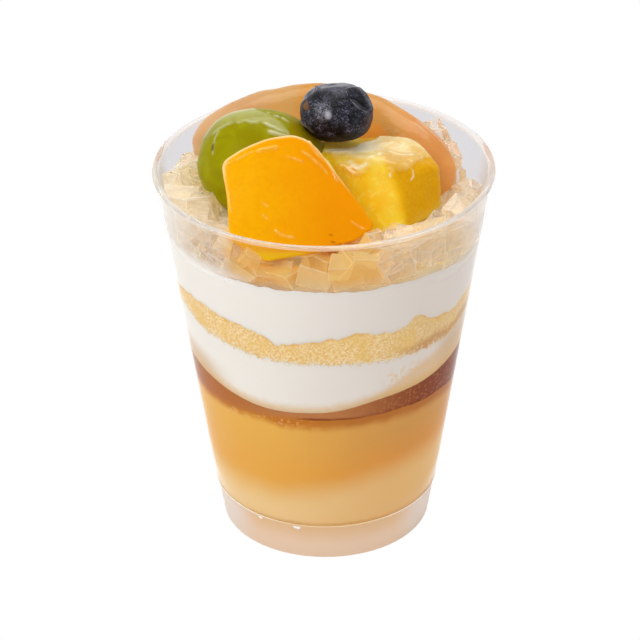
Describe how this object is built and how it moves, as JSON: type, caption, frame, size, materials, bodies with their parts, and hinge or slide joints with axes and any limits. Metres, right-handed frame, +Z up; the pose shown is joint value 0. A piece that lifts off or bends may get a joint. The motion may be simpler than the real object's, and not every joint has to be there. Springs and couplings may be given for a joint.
{
  "type": "pudding a la mode in a dessert cup",
  "caption": "Layered pudding in a tapered clear plastic cup: custard, caramel, cream and sponge, clear jelly and cut fruit on top.",
  "frame": {"origin": "centre of the foot ring's underside, where the cup stands", "axes": "+Z up along the cup's axis, -Y towards the front, which shows the mango block and the jelly below it, +X to the right"},
  "size_m": [0.076, 0.076, 0.1084],
  "materials": {
    "clear_plastic": "clear, glossy",
    "custard": "baked custard, smooth and slightly moist",
    "caramel": "thick caramel, smooth",
    "cream": "whipped cream, soft",
    "sponge": "sponge cake, porous",
    "jelly": "clear jelly, wet",
    "grape_skin": "glazed skin",
    "berry_skin": "skin with grey bloom under a thin glaze",
    "mango_flesh": "cut flesh, glazed",
    "pineapple_flesh": "cut flesh, glazed",
    "peach_flesh": "cut flesh in syrup, glazed"
  },
  "bodies": {
    "root": {"cup": "clear_plastic", "custard": "custard", "caramel": "caramel", "cream_lower": "cream", "sponge": "sponge", "cream_upper": "cream", "jelly": "jelly", "grape": "grape_skin", "blueberry": "berry_skin", "mango": "mango_flesh", "pineapple": "pineapple_flesh", "peach": "peach_flesh"}
  },
  "joints": []
}
